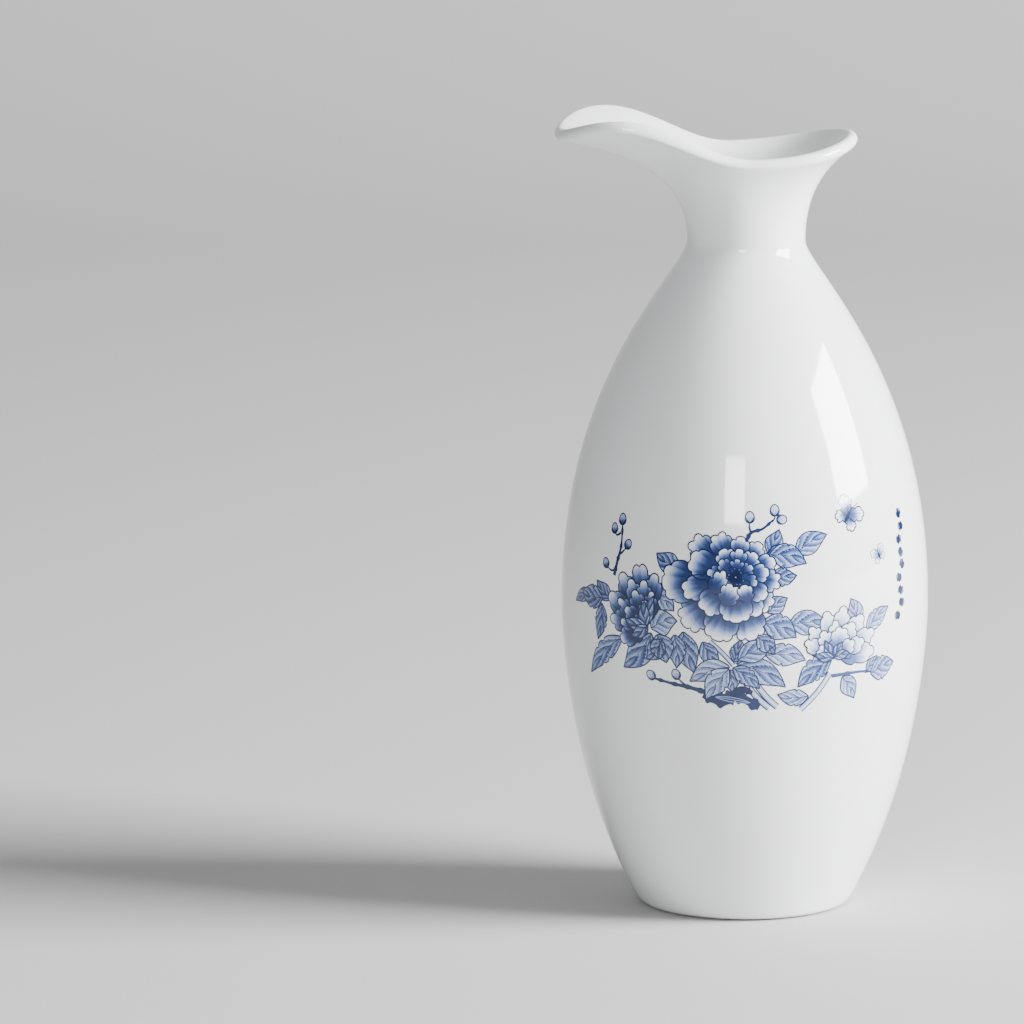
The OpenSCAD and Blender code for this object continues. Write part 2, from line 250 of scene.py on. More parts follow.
def glaze_skin(material):
    """The glaze as a closed shell: its bright surface, and the surface where it meets the porcelain."""
    n = AROUND
    a = np.arange(n) * 360 / n
    bright = bottle_rows(a, 0, FULL_WALL, FLOOR_Z + GLAZE_T, GLAZE_T, BRIGHT_ROWS)
    hidden = bottle_rows(a, GLAZE_T, FULL_WALL - GLAZE_T, FLOOR_Z, 0, HIDDEN_ROWS)
    floor_middles = [[0, 0, FLOOR_Z + GLAZE_T], [0, 0, FLOOR_Z]]
    points = np.concatenate(bright + hidden + [floor_middles])
    start = len(bright) * n
    bright_middle, hidden_middle = len(points) - 2, len(points) - 1
    bright_last, hidden_last = start - n, bright_middle - n
    faces = ring_faces(len(bright), n, 0, False) + ring_faces(len(hidden), n, start, True)
    for j in range(n):
        k = (j + 1) % n
        faces.append([j, start + j, start + k, k])
        faces.append([bright_last + j, bright_last + k, bright_middle])
        faces.append([hidden_last + k, hidden_last + j, hidden_middle])
    return new_object("glaze_skin", points, faces, material)


# ---- Materials ----

GLAZE_IOR = 1.52
GLAZE_WHITE = (0.80, 0.81, 0.825)
# Fired cobalt, from bare glaze to the thickest ink
INK_TONES = [
    (0.0, GLAZE_WHITE),
    (0.25, (0.30, 0.38, 0.60)),
    (0.5, (0.085, 0.132, 0.31)),
    (0.75, (0.027, 0.048, 0.145)),
    (1.0, (0.007, 0.014, 0.052)),
]


def principled(name, **values):
    """A material, its node tree, and its shader with inputs set."""
    material = bpy.data.materials.new(name)
    material.use_nodes = True
    shader = material.node_tree.nodes["Principled BSDF"]
    for key, value in values.items():
        shader.inputs[key].default_value = value
    return material, material.node_tree, shader


def add(tree, kind, **values):
    """A node with its properties and its inputs set."""
    node = tree.nodes.new(kind)
    for key, value in values.items():
        if key in node.inputs:
            node.inputs[key].default_value = value
        else:
            setattr(node, key, value)
    return node


def set_ramp(ramp, stops):
    """Colour stops of (place, colour) on a colour ramp."""
    while len(ramp.elements) > 1:
        ramp.elements.remove(ramp.elements[-1])
    ramp.elements[0].position, ramp.elements[0].color = stops[0][0], (*stops[0][1], 1)
    for place, colour in stops[1:]:
        ramp.elements.new(place).color = (*colour, 1)


def make_glaze():
    """White glaze: glossy, faintly uneven, with a few pinholes."""
    material, tree, shader = principled("white_glaze", Roughness=0.07, IOR=GLAZE_IOR)
    place = add(tree, "ShaderNodeTexCoord")
    cloud = add(tree, "ShaderNodeTexNoise", Scale=28.0, Detail=3.0)
    tint = add(tree, "ShaderNodeValToRGB")
    set_ramp(tint.color_ramp, [(0.3, (0.785, 0.795, 0.805)), (0.7, (0.815, 0.825, 0.845))])
    specks = add(tree, "ShaderNodeTexVoronoi", Scale=70.0)
    dots = add(tree, "ShaderNodeValToRGB")
    set_ramp(dots.color_ramp, [(0.0, (0.35, 0.33, 0.30)), (0.022, (1, 1, 1))])
    spotted = add(tree, "ShaderNodeMix", data_type="RGBA", blend_type="MULTIPLY")
    spotted.inputs["Factor"].default_value = 0.6
    ripple = add(tree, "ShaderNodeTexNoise", Scale=60.0, Detail=1.0)
    bump = add(tree, "ShaderNodeBump", Strength=0.05, Distance=0.0004)
    link = tree.links.new
    for texture in (cloud, specks, ripple):
        link(place.outputs["Object"], texture.inputs["Vector"])
    link(cloud.outputs["Fac"], tint.inputs["Fac"])
    link(specks.outputs["Distance"], dots.inputs["Fac"])
    link(tint.outputs["Color"], spotted.inputs["A"])
    link(dots.outputs["Color"], spotted.inputs["B"])
    link(spotted.outputs["Result"], shader.inputs["Base Color"])
    link(ripple.outputs["Fac"], bump.inputs["Height"])
    link(bump.outputs["Normal"], shader.inputs["Normal"])
    return material


def make_biscuit():
    """Bare fired porcelain: matte and finely grained."""
    material, tree, shader = principled("bare_porcelain", Roughness=0.62)
    place = add(tree, "ShaderNodeTexCoord")
    grain = add(tree, "ShaderNodeTexNoise", Scale=900.0, Detail=4.0)
    tint = add(tree, "ShaderNodeValToRGB")
    set_ramp(tint.color_ramp, [(0.35, (0.66, 0.64, 0.59)), (0.65, (0.78, 0.77, 0.73))])
    bump = add(tree, "ShaderNodeBump", Strength=0.3, Distance=0.0001)
    link = tree.links.new
    link(place.outputs["Object"], grain.inputs["Vector"])
    link(grain.outputs["Fac"], tint.inputs["Fac"])
    link(tint.outputs["Color"], shader.inputs["Base Color"])
    link(grain.outputs["Fac"], bump.inputs["Height"])
    link(bump.outputs["Normal"], shader.inputs["Normal"])
    return material


def make_ink(name):
    """Fired cobalt: the ink attribute says how much colour lies at a point, from 0 for bare glaze to 1."""
    material, tree, shader = principled(name, Roughness=0.09, IOR=GLAZE_IOR)
    ink = add(tree, "ShaderNodeAttribute", attribute_name="ink")
    tone = add(tree, "ShaderNodeValToRGB")
    set_ramp(tone.color_ramp, INK_TONES)
    tree.links.new(ink.outputs["Fac"], tone.inputs["Fac"])
    tree.links.new(tone.outputs["Color"], shader.inputs["Base Color"])
    return material


# ---- The printed spray: shapes laid out flat, then wrapped round the belly ----

LIFT_FIRST = 0.012   # the lowest layer of colour above the glaze
LIFT_STEP = 0.008    # from one layer, or level, to the next
SINK = -0.02         # every island of colour reaches this far into the glaze
LINE_LEVEL = 0.5     # a drawn line is this many levels above the shape that it is drawn on
BLOOM_LEVEL = 7      # the blooms lie over the leaves

# Part of the outside that the spray lies on, as rows of (radius, height), and its unit slope
BELLY_CURVE = glazed(np.linspace(0.2, 1.8, 3000))
BELLY_SLOPE = np.gradient(BELLY_CURVE, axis=0)
BELLY_SLOPE /= np.linalg.norm(BELLY_SLOPE, axis=1)[:, None]


def wrapped(flat, lift):
    """Points of the flat layout, lift above the glaze, on the belly."""
    a = SPRAY_AZ + flat[:, 0] / BELLY_R
    z = SPRAY_Z + flat[:, 1]
    heights = BELLY_CURVE[:, 1]
    r = np.interp(z, heights, BELLY_CURVE[:, 0])
    slope_r = np.interp(z, heights, BELLY_SLOPE[:, 0])
    slope_z = np.interp(z, heights, BELLY_SLOPE[:, 1])
    r = r + lift * slope_z
    return np.stack([r * np.cos(a), r * np.sin(a), z - lift * slope_r], 1)


class Print:
    """Islands of colour that make one piece. Each island is a closed slab."""

    def __init__(self):
        self.points, self.faces, self.ink = [], [], []
        self.count = 0

    def slab(self, flat, quads, rim, ink, level):
        """A slab from flat points, the faces of its top, the loop of points round it and its ink.

        The level says how high its top lies.
        """
        n = len(flat)
        top = wrapped(flat, LIFT_FIRST + LIFT_STEP * level)
        bottom = wrapped(flat, SINK)
        self.points += [top, bottom]
        self.ink += [ink, ink]
        c = self.count
        self.faces += [[c + i for i in q] for q in quads]
        self.faces += [[c + n + i for i in q[::-1]] for q in quads]
        for i, j in zip(rim, np.roll(rim, -1)):
            self.faces.append([c + i, c + n + i, c + n + j, c + j])
        self.count += 2 * n

    def grid(self, flat, ink, level):
        """A slab from a grid of flat points, rows by columns."""
        rows, columns = flat.shape[:2]
        at = np.arange(rows * columns).reshape(rows, columns)
        quads = np.stack([at[:-1, :-1], at[:-1, 1:], at[1:, 1:], at[1:, :-1]], -1).reshape(-1, 4)
        rim = np.concatenate([at[0, :-1], at[:-1, -1], at[-1, :0:-1], at[:0:-1, 0]])
        loop = flat.reshape(-1, 2)[rim]
        area = np.sum(loop[:, 0] * np.roll(loop[:, 1], -1) - np.roll(loop[:, 0], -1) * loop[:, 1])
        if area < 0:
            quads, rim = quads[:, ::-1], rim[::-1]
        self.slab(flat.reshape(-1, 2), quads.tolist(), rim, np.asarray(ink, float).ravel(), level)

    def line(self, path, width, level, ink=0.95):
        """A drawn line along flat points. width is one number or one for each point."""
        path = np.asarray(path, float)
        along = np.gradient(path, axis=0)
        along /= np.maximum(np.linalg.norm(along, axis=1), 1e-9)[:, None]
        side = np.stack([-along[:, 1], along[:, 0]], 1)
        half = (np.zeros(len(path)) + width)[:, None] / 2
        flat = np.stack([path - side * half, path + side * half], 1)
        self.grid(flat, np.full(flat.shape[:2], ink), level + LINE_LEVEL)

    def make(self, name, node, material):
        """One piece of all the islands, in the place of a CAD node."""
        piece = new_object(name, np.concatenate(self.points), self.faces, material, smooth_angle=30)
        ink = piece.data.attributes.new("ink", "FLOAT", "POINT")
        ink.data.foreach_set("value", np.concatenate(self.ink).astype(np.float32))
        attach(piece, "root")
        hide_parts(node)
        return piece


def direction(degrees):
    """The unit vector at an angle from u towards v."""
    return np.array([math.cos(math.radians(degrees)), math.sin(math.radians(degrees))])


def bowed(base, tip, bow, t):
    """Points on a curved line from base to tip, and the unit side vectors there."""
    base, tip = np.asarray(base, float), np.asarray(tip, float)
    across = np.array([-(tip - base)[1], (tip - base)[0]])
    middle = (base + tip) / 2 + across * bow
    t = np.asarray(t, float)
    points = bezier2(base, middle, tip, t)
    along = 2 * (1 - t)[..., None] * (middle - base) + 2 * t[..., None] * (tip - middle)
    along /= np.linalg.norm(along, axis=-1)[..., None]
    return points, np.stack([-along[..., 1], along[..., 0]], -1)


def petal(art, base, tip, width, lobes, level, dark=0.85, start=0.4, end=0.85, line=0.30, notch=0.6,
          point=0.0):
    """A fan-shaped petal with a scalloped edge and an outline.

    Its colour is full up to the share start of its length and has faded to white at the share end.
    The notches between its lobes are about notch deep, and point draws its tip out.
    """
    per_lobe, per_side, rows = 6, 5, 13    # points along the edge, and rows from the root to the edge
    lobed, edge_end = 100, 135             # degrees from the tip, where the lobes and the edge end
    middle, half = 0.55, 0.45              # of the edge's oval, in shares of the length
    fullness, lobe_roundness = 0.8, 0.6    # below 1, so the oval and its lobes are fuller than ellipses
    root_share = 0.04                      # half the root's width, as a share of the petal's
    bare_rows, taper, thin = 4, 5, 0.3     # the outline starts off the root, and thin

    base, tip = np.asarray(base, float), np.asarray(tip, float)
    length = np.linalg.norm(tip - base)
    along = (tip - base) / length
    across = np.array([-along[1], along[0]])
    scallops = lobes * per_lobe + 1
    angle = np.radians(np.concatenate([np.linspace(-edge_end, -lobed, per_side, endpoint=False),
                                       np.linspace(-lobed, lobed, scallops),
                                       np.linspace(lobed, edge_end, per_side + 1)[1:]]))
    lobe = np.ones(len(angle))
    wave = np.abs(np.sin(np.pi * np.linspace(0, lobes, scallops)))
    lobe[per_side:per_side + scallops] = wave ** lobe_roundness
    c, n = np.cos(angle), np.sin(angle)
    x = half * length * np.sign(c) * np.abs(c) ** fullness * (1 + point * np.maximum(c, 0) ** 8)
    y = width / 2 * np.sign(n) * np.abs(n) ** fullness
    depth = notch * (0.7 + 0.6 * rng.random())
    pull = 1 - depth * (1 - lobe) / np.maximum(np.hypot(x, y), 0.5)
    edge = base + np.outer(middle * length + x * pull, along) + np.outer(y * pull, across)
    root = base + np.outer(np.linspace(-1, 1, len(angle)) * root_share * width, across)
    T = np.linspace(0, 1, rows)[:, None]
    flat = root[None] + (edge - root)[None] * T[..., None]

    far = np.linalg.norm(flat - base, axis=-1) / length
    streak = 0.05 * np.sin(3.0 * angle + 6 * rng.random()) + 0.03 * np.sin(11 * angle)
    begin = start + streak + 0.08 * (1 - lobe)
    ink = dark * (1 - smooth((far - begin) / np.maximum(end - begin, 0.1)))
    art.grid(flat, np.maximum(ink, 0.02), level)

    outline = np.concatenate([flat[bare_rows:, 0], edge[1:-1], flat[:bare_rows - 1:-1, -1]])
    thick = np.full(len(outline), line)
    thick[:taper] *= np.linspace(thin, 1, taper)
    thick[-taper:] *= np.linspace(1, thin, taper)
    art.line(outline, thick, level, 0.98)


def leaf_width(t):
    """The share of its full width that a leaf has at the share t of its length."""
    return np.sin(np.pi * t ** 0.82) ** 1.05


def leaf(art, base, tip, width, level, bow=0.08, tone=0.6, veins=3, line=0.30, frills=0):
    """A pointed leaf with a pale midrib and rim, shaded from vein to vein, and outlined.

    Frills are notches in its edge.
    """
    # Of the veins: how close, how slanted, and how far one side is behind the other
    stretch, slant, stagger = 1.1, 0.52, 0.35
    # Of the frills: the first one's place, the next ones', their lean, size and depth
    frill_at, frill_step, frill_lean, frill_size, frill_depth = 0.42, 0.17, 0.03, 0.025, 0.26

    S, T = np.meshgrid(np.linspace(-1, 1, 15), np.linspace(0, 1, 37))
    wide = np.maximum(leaf_width(T), 0.02)
    for k in range(frills):
        off = (T - frill_at - frill_step * k - frill_lean * S) / frill_size
        wide = wide * (1 - frill_depth * np.exp(-off ** 2))
    middle, side = bowed(base, tip, bow, T)
    flat = middle + side * (S * width / 2 * wide)[..., None]

    phase = veins * (stretch * T - slant * np.abs(S)) + stagger * (S > 0)
    shade = 0.30 + 0.85 * (1 - phase % 1) ** 1.5
    near_midrib = np.exp(-(S / 0.08) ** 2)
    near_rim = smooth((np.abs(S) - 0.82) / 0.18)
    ink = (0.42 + 0.62 * tone) * shade * (1 - 0.25 * S * S) * (1 - 0.15 * (S < 0))
    ink = ink * (1 - 0.5 * near_midrib) * (1 - 0.6 * near_rim)
    art.grid(flat, np.clip(ink, 0.04, 0.97), level)

    outline = np.concatenate([flat[:, 0], flat[-2::-1, -1]])
    art.line(outline, line, level)
    rib, _ = bowed(base, tip, bow, np.linspace(0, 0.95, 16))
    art.line(rib, np.linspace(0.8 * line, 0.05, 16), level)
    for sign in (-1, 1):
        for k in range(1, veins + 1):
            q = np.linspace(0.05, 0.82, 7)
            at = ((k - stagger * (sign > 0)) / veins + slant * q) / stretch
            q, at = q[at < 0.93], at[at < 0.93]
            if len(q) < 3:
                continue
            where, normal = bowed(base, tip, bow, at)
            vein = where + normal * (sign * q * width / 2 * leaf_width(at))[:, None]
            art.line(vein, np.linspace(0.8 * line, 0.06, len(q)), level, 0.9)


def twig(art, path, width, level, knots=3, ink=0.9):
    """A woody twig along flat points: thick to thin, with small knots."""
    end_share, knot_share, knot_size, points_per_step = 0.45, 0.45, 0.035, 10
    path = np.asarray(path, float)
    t = np.linspace(0, len(path) - 1, points_per_step * (len(path) - 1) + 1)
    smooth_path = np.stack([catmull(path[:, i], t) for i in (0, 1)], 1)
    share = t / t[-1]
    wide = np.interp(share, [0, 1], [width, end_share * width])
    for k in range(knots):
        wide = wide + knot_share * width * np.exp(-((share - (k + 0.6) / knots) / knot_size) ** 2)
    art.line(smooth_path, wide, level, ink)


def catmull(values, t):
    """A smooth curve through the values at whole numbers of t."""
    padded = np.concatenate([[2 * values[0] - values[1]], values, [2 * values[-1] - values[-2]]])
    i = np.clip(t.astype(int), 0, len(values) - 2)
    f = t - i
    a, b, c, d = (padded[i + k] for k in range(4))
    return 0.5 * (2 * b + (c - a) * f + (2 * a - 5 * b + 4 * c - d) * f ** 2
                  + (3 * b - a - 3 * c + d) * f ** 3)


def stem(art, base, tip, width, level, bow=0.0, ink=0.25):
    """A young stem: a pale band between two drawn lines."""
    t = np.linspace(0, 1, 16)
    middle, side = bowed(base, tip, bow, t)
    half = side * width / 2
    art.grid(np.stack([middle - half, middle, middle + half], 1),
             np.stack([0 * t + 2 * ink, 0 * t + 0.5 * ink, 0 * t + ink], 1), level)
    for sign in (-1, 1):
        art.line(middle + sign * half, 0.24, level)


def bud(art, at, r, pointing, level, ink=0.3):
    """A round bud in its calyx, pointing along an angle."""
    A, Q = np.meshgrid(np.linspace(0, 2 * np.pi, 25), np.linspace(0.001, 1, 5))
    along, across = direction(pointing), direction(pointing + 90)
    x, y = Q * np.cos(A), Q * np.sin(A) * (1 - 0.12 * np.cos(A))
    flat = np.asarray(at) + r * (x[..., None] * along * 1.08 + y[..., None] * across * 0.92)
    shade = ink * (1 - 0.8 * smooth((x + 0.9) / 1.3)) + 0.12
    disc(art, flat, shade, level)
    art.line(flat[-1], 0.27, level)
    t = np.linspace(0, 1, 7)
    cup_length, cup_width = r * 1.15, 0.75 * r
    cup = np.asarray(at) - along * cup_length
    for sign in (-1, 1):
        spread = sign * cup_width * np.sin(np.pi / 2 * t)
        sepal = cup + np.outer(t * cup_length, along) + np.outer(spread, across)
        art.line(sepal, np.linspace(0.34, 0.1, 7) * r, level + 0.3)


def disc(art, rings, ink, level):
    """A slab from rings of points round a middle. A ring's first and last points are the same."""
    n = rings.shape[1] - 1
    flat = np.concatenate([[rings[0].mean(0)], rings[1:, :-1].reshape(-1, 2)])
    shade = np.concatenate([[ink[0].mean()], ink[1:, :-1].ravel()])
    faces = [[0, 1 + j, 1 + (j + 1) % n] for j in range(n)]
    for i in range(rings.shape[0] - 2):
        for j in range(n):
            k = (j + 1) % n
            faces.append([1 + i * n + j, 1 + (i + 1) * n + j, 1 + (i + 1) * n + k, 1 + i * n + k])
    rim = 1 + (rings.shape[0] - 2) * n + np.arange(n)
    art.slab(flat, faces, rim, shade, level)


# Petals of the main peony as tip, width and lobes, measured from its heart. The outer ring comes first.
HEART = np.array([4.0, 2.0])
OUTER = [
    ((-10.2, 8.0), 6.2, 4), ((-4.4, 9.4), 5.4, 4), ((1.2, 8.8), 4.6, 3), ((5.6, 7.4), 4.4, 3),
    ((8.8, 3.6), 4.8, 3), ((10.0, -1.0), 5.2, 4), ((7.8, -6.8), 5.8, 4), ((3.8, -13.8), 7.8, 5),
    ((-4.2, -14.0), 7.8, 5), ((-11.6, -11.0), 8.0, 5), ((-16.8, -2.0), 9.4, 5),
]
MIDDLE = [
    ((-10.6, 3.6), 6.6, 4), ((-3.2, 6.0), 4.8, 3), ((0.9, 6.2), 4.2, 3), ((4.6, 5.2), 4.4, 3),
    ((7.4, 1.2), 4.4, 3), ((6.8, -4.4), 4.6, 3), ((-12.0, -3.6), 5.8, 4), ((-7.2, -7.8), 6.4, 4),
    ((0.2, -10.0), 7.4, 5), ((5.2, -8.4), 4.8, 3),
]
INNER = [
    ((-6.4, 1.0), 3.8, 3), ((-3.6, 3.6), 3.4, 3), ((0.4, 4.0), 3.4, 3), ((3.8, 2.4), 3.4, 3),
    ((4.8, -1.4), 3.6, 3), ((2.8, -5.0), 4.6, 4), ((-1.8, -6.0), 4.4, 4), ((-5.2, -2.8), 4.8, 4),
]
# Petals in front that curl over the heart, as base, tip, width and lobes
CUP = [
    ((-5.6, -3.4), (-1.6, 0.8), 4.6, 4), ((-2.6, -6.4), (-0.2, -1.6), 4.8, 4),
    ((2.8, -5.6), (1.7, -1.6), 3.6, 3),
]
# The rings with the share of a petal that starts hidden at the heart, and where its colour fades
RINGS = ((OUTER, 0.30, 0.50, 0.96), (MIDDLE, 0.18, 0.50, 0.98), (INNER, 0.10, 0.52, 1.08))


def main_peony(material):
    """The big bloom: rings of petals, a few curled over the heart, and the heart itself."""
    art = Print()
    levels_per_ring, dark = 4, 0.86
    level = BLOOM_LEVEL
    for ring, hidden, start, end in RINGS:
        for k, (tip, width, lobes) in enumerate(ring):
            tip = np.array(tip)
            petal(art, HEART + hidden * tip, HEART + tip, width, lobes, level + 1.2 * (k % 3),
                  dark=dark, start=start, end=end)
        level += levels_per_ring
    for k, (base, tip, width, lobes) in enumerate(CUP):
        petal(art, HEART + base, HEART + tip, width, lobes, level + 1.2 * k,
              dark=dark, start=0.30, end=0.92)
    level += levels_per_ring
    for k in range(6):
        out = direction(60 * k + 20)
        petal(art, HEART + 0.2 * out, HEART + (1.8 + 0.4 * (k % 2)) * out, 1.9, 2, level + k % 2,
              dark=1.0, start=0.62, end=1.15, line=0.24)
    for k in range(8):
        out = direction(45 * k + 10)
        art.line([HEART + 0.15 * out, HEART + 0.75 * out], [0.1, 0.2], level + 2, 1.0)
    return art.make("main_peony", "main_peony_print", material)


# Petals of the two side blooms as tip, width and lobes, the back row first
LEFT_BASE = np.array([-16.4, -10.0])
LEFT = [
    ((-18.8, 3.2), 6.0, 4), ((-14.6, 1.4), 5.0, 3), ((-23.6, 0.6), 5.4, 3), ((-26.8, -4.2), 5.4, 3),
    ((-26.2, -9.2), 5.2, 3), ((-23.2, -13.6), 5.0, 3), ((-21.0, -0.4), 4.6, 3), ((-17.4, -0.2), 4.4, 3),
    ((-24.0, -5.0), 4.0, 3), ((-15.2, -2.4), 3.6, 3), ((-23.2, -9.6), 3.8, 3), ((-19.8, -2.6), 4.4, 3),
    ((-22.0, -6.6), 4.0, 3), ((-17.0, -4.4), 3.6, 3), ((-20.4, -8.6), 3.2, 3),
]
RIGHT_BASE = np.array([26.4, -16.4])
RIGHT = [
    ((20.6, -9.6), 3.8, 3), ((24.4, -6.4), 4.2, 3), ((28.8, -5.6), 4.4, 3), ((33.6, -8.0), 4.8, 3),
    ((36.8, -11.6), 4.6, 3), ((37.0, -16.0), 4.8, 3), ((19.6, -12.6), 3.8, 3), ((26.6, -8.4), 3.6, 3),
    ((31.2, -9.4), 4.6, 3), ((34.0, -13.4), 4.2, 3), ((23.4, -10.6), 4.0, 3), ((28.4, -10.0), 4.8, 4),
    ((31.4, -13.4), 3.8, 3), ((22.2, -14.2), 3.0, 2),
]


# Sepals at the base of each side bloom, by their tips
LEFT_SEPALS = ((-14.6, -3.0), (-17.0, -4.4), (-22.2, -8.8), (-20.4, -12.4))
RIGHT_SEPALS = ((24.0, -12.4), (21.6, -15.4), (28.4, -13.2), (30.4, -15.8))
SIDE_PETAL_STEP = 0.8    # levels from one petal of a side bloom to the next


def left_peony(material):
    """The dark bloom on the left."""
    art = Print()
    for k, (tip, width, lobes) in enumerate(LEFT):
        base = LEFT_BASE + 0.1 * (np.array(tip) - LEFT_BASE)
        petal(art, base, tip, width, lobes, BLOOM_LEVEL + SIDE_PETAL_STEP * k,
              dark=0.95, start=0.55, end=1.08, notch=0.75, point=0.10)
    for k, tip in enumerate(LEFT_SEPALS):
        leaf(art, LEFT_BASE + 0.1 * k, tip, 2.8, 20 + 1.2 * k, bow=0.12, tone=1.0, veins=2)
    return art.make("left_peony", "left_peony_print", material)


def right_peony(material):
    """The pale bloom on the right."""
    art = Print()
    for k, (tip, width, lobes) in enumerate(RIGHT):
        base = RIGHT_BASE + 0.1 * (np.array(tip) - RIGHT_BASE)
        petal(art, base, tip, width, lobes, BLOOM_LEVEL + SIDE_PETAL_STEP * k,
              dark=0.6, start=0.30, end=0.98, line=0.28, notch=0.65, point=0.08)
    for k, tip in enumerate(RIGHT_SEPALS):
        leaf(art, RIGHT_BASE, tip, 2.2, 19 + 1.2 * k, bow=0.1, tone=0.95, veins=2)
    return art.make("right_peony", "right_peony_print", material)


# Leaves of the spray: base, tip, width, bow and tone
LEAVES = [
    ((-8.6, 3.4), (-14.5, 6.3), 4.2, 0.10, 0.85), ((-15.3, -2.5), (-9.8, -6.0), 4.4, 0.15, 0.40),
    ((-15.2, -10.3), (-9.0, -8.2), 5.2, 0.20, 0.35), ((-13.8, -11.5), (-11.6, -17.6), 5.4, 0.05, 0.60),
    ((-7.6, -10.4), (-5.0, -19.4), 4.8, -0.08, 0.75), ((-23.0, -13.1), (-34.5, -22.6), 4.4, -0.10, 0.65),
    ((-15.2, -11.3), (-23.0, -19.8), 5.6, 0.12, 0.85), ((-29.3, -5.2), (-37.4, -4.6), 4.8, 0.12, 1.05),
    ((-33.5, -5.0), (-40.6, -7.6), 2.8, -0.15, 1.0), ((-29.6, -6.5), (-31.0, -14.6), 3.6, 0.10, 0.95),
    ((11.1, 7.0), (13.8, 12.2), 3.8, -0.10, 0.80), ((11.4, 6.7), (19.9, 4.6), 4.8, 0.18, 0.80),
    ((17.4, 6.8), (25.2, 10.6), 4.4, 0.12, 0.65), ((11.7, 2.6), (17.6, 2.2), 3.8, -0.15, 0.80),
    ((11.0, -5.8), (15.4, -2.6), 3.6, 0.10, 0.65), ((9.8, -7.9), (17.4, -11.4), 5.2, 0.14, 0.70),
    ((15.6, -8.6), (24.8, -9.0), 5.0, 0.12, 0.65), ((3.6, -16.6), (5.2, -11.6), 3.2, -0.10, 1.05),
    ((4.6, -16.2), (12.8, -13.2), 4.4, 0.15, 0.65), ((10.6, -15.2), (19.6, -16.6), 4.6, 0.16, 0.35),
    ((4.4, -17.2), (15.2, -22.4), 5.0, 0.14, 0.65), ((3.4, -18.0), (9.4, -22.6), 3.6, 0.10, 0.75),
    ((2.8, -17.8), (-6.2, -21.4), 4.4, -0.16, 0.35), ((2.6, -18.2), (-2.6, -25.2), 4.6, -0.08, 0.35),
    ((2.8, -18.4), (3.2, -23.4), 3.4, 0.08, 0.60), ((25.9, -16.6), (18.0, -22.6), 4.8, -0.14, 0.90),
    ((24.6, -15.0), (19.6, -13.6), 2.6, 0.10, 0.85), ((27.6, -14.6), (33.4, -15.4), 2.6, 0.10, 0.85),
    ((32.4, -9.4), (30.6, -3.8), 3.8, -0.10, 0.55), ((35.0, -11.4), (41.8, -6.8), 3.8, 0.10, 0.35),
    ((28.7, -21.1), (32.4, -26.2), 3.8, 0.10, 0.35), ((20.6, -24.7), (13.4, -24.0), 3.4, 0.14, 0.35),
    ((35.6, -20.8), (38.6, -17.4), 2.4, 0.10, 0.55), ((36.8, -21.2), (44.4, -19.6), 5.0, 0.05, 0.55),
    ((-26.4, -5.0), (-31.6, -1.6), 3.4, 0.12, 1.00), ((-12.6, -12.4), (-16.6, -17.2), 4.0, 0.14, 0.85),
    ((-3.2, -12.4), (0.6, -17.8), 3.6, -0.10, 0.80), ((-9.6, -11.2), (-9.2, -18.6), 4.0, 0.08, 0.60),
    ((11.0, 5.0), (16.4, 8.8), 3.4, 0.10, 0.95), ((8.6, -11.0), (12.6, -15.0), 3.6, 0.12, 0.85),
]


def leaves(material):
    """The leaves in four kinds that follow each other: levels 1.2 apart, and 0, 2, 0 and 1 frills."""
    art = Print()
    breadth, frills = 1.1, (0, 2, 0, 1)
    for k, (base, tip, width, bow, tone) in enumerate(LEAVES):
        kind = k % len(frills)
        leaf(art, base, tip, breadth * width, 1 + 1.2 * kind, bow, tone, frills=frills[kind])
    return art.make("leaves", "leaf_print", material)


def stems(material):
    """Five stems, a twig on the right, and the knotted root with pale streaks."""
    art = Print()
    for base, tip, width, bow in (
        ((6.0, -20.6), (11.6, -27.0), 1.3, -0.12),
        ((7.6, -19.6), (13.4, -26.8), 1.3, -0.12),
        ((25.6, -19.8), (18.8, -27.6), 1.2, 0.10),
        ((-1.6, -12.2), (3.6, -17.4), 0.9, 0.05),
        ((7.4, -12.6), (3.8, -16.8), 0.9, 0.05),
    ):
        stem(art, base, tip, width, level=0, bow=bow)
    twig(art, [(26.0, -20.6), (30.5, -20.4), (34.0, -20.4), (37.0, -20.8)],
         width=0.9, level=0.6, knots=2, ink=0.75)
    twig(art, [(-2.8, -23.4), (1.0, -25.2), (4.4, -24.4), (9.4, -26.8)],
         width=3.4, level=0.6, knots=5, ink=0.92)
    twig(art, [(3.4, -24.6), (5.4, -22.8), (7.8, -23.6)], width=2.2, level=1.4, knots=2, ink=0.97)
    for bow in (-0.12, 0.02, 0.14):
        streak, _ = bowed((-0.6, -24.6), (7.4, -25.8), bow, np.linspace(0, 1, 12))
        art.line(streak, [0.05] + [0.16] * 10 + [0.05], 2.2, 0.35)
    return art.make("stems", "stem_print", material)


